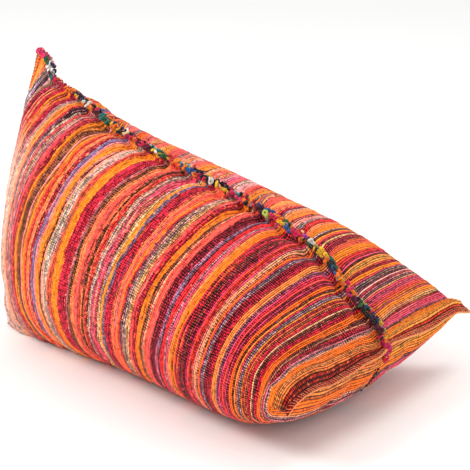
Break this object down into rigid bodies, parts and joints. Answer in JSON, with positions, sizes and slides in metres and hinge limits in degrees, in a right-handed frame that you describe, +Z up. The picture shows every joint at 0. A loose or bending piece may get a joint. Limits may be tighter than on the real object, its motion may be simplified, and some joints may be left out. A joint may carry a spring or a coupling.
{
  "type": "bean bag",
  "caption": "Low lounger bean bag: a filled cloth wedge with an upright peak at the back, a flat stitched front hem and a looped edging in its seams.",
  "frame": {"origin": "middle of the standing bag's box, at floor level", "axes": "+X towards the low front hem, +Z up, +Y towards the far panel"},
  "size_m": [1.1729, 0.8867, 0.7924],
  "materials": {
    "rag_cloth": "weft-faced rag weave in warm stripes, matt",
    "spine_loops": "bunched loops of cloth strips in many colours, matt",
    "keel_loops": "bunched loops of dark cloth strips, matt"
  },
  "bodies": {
    "root": {"cover": "rag_cloth", "spine_edging": "spine_loops", "keel_edging": "keel_loops"}
  },
  "joints": []
}
